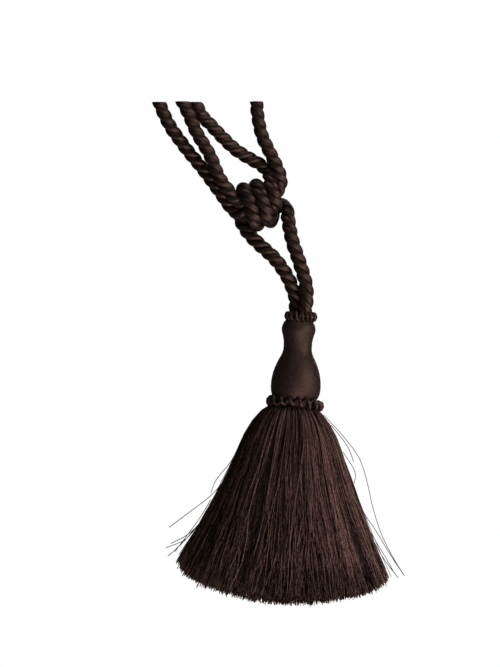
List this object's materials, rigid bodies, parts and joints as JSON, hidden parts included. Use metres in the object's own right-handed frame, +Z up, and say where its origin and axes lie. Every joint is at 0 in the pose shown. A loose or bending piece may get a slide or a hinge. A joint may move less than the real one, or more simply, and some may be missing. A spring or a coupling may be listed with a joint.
{
  "type": "drapery tassel",
  "caption": "Fringed tieback tassel with a wound urn-shaped head and looped gimp, hung by a twisted rope knotted round two doubled tieback ropes.",
  "frame": {"origin": "middle of the flat-cut rope tops, where the tassel hangs", "axes": "+Z up along the hang, -Y towards the front, +X to the front's right"},
  "size_m": [0.1899, 0.1742, 0.4034],
  "materials": {
    "skirt": "dark brown rayon thread, satin",
    "head": "dark brown rayon thread wound round the mould, satin",
    "lower_ruff": "dark brown looped gimp",
    "upper_ruff": "dark brown looped gimp",
    "hanger_rope": "dark brown rayon rope, satin",
    "tieback_rope_outer": "dark brown rayon rope, satin",
    "tieback_rope_inner": "dark brown rayon rope, satin"
  },
  "bodies": {
    "root": {"skirt": "skirt", "head": "head", "lower_ruff": "lower_ruff", "upper_ruff": "upper_ruff", "hanger_rope": "hanger_rope", "tieback_rope_outer": "tieback_rope_outer", "tieback_rope_inner": "tieback_rope_inner"}
  },
  "joints": []
}
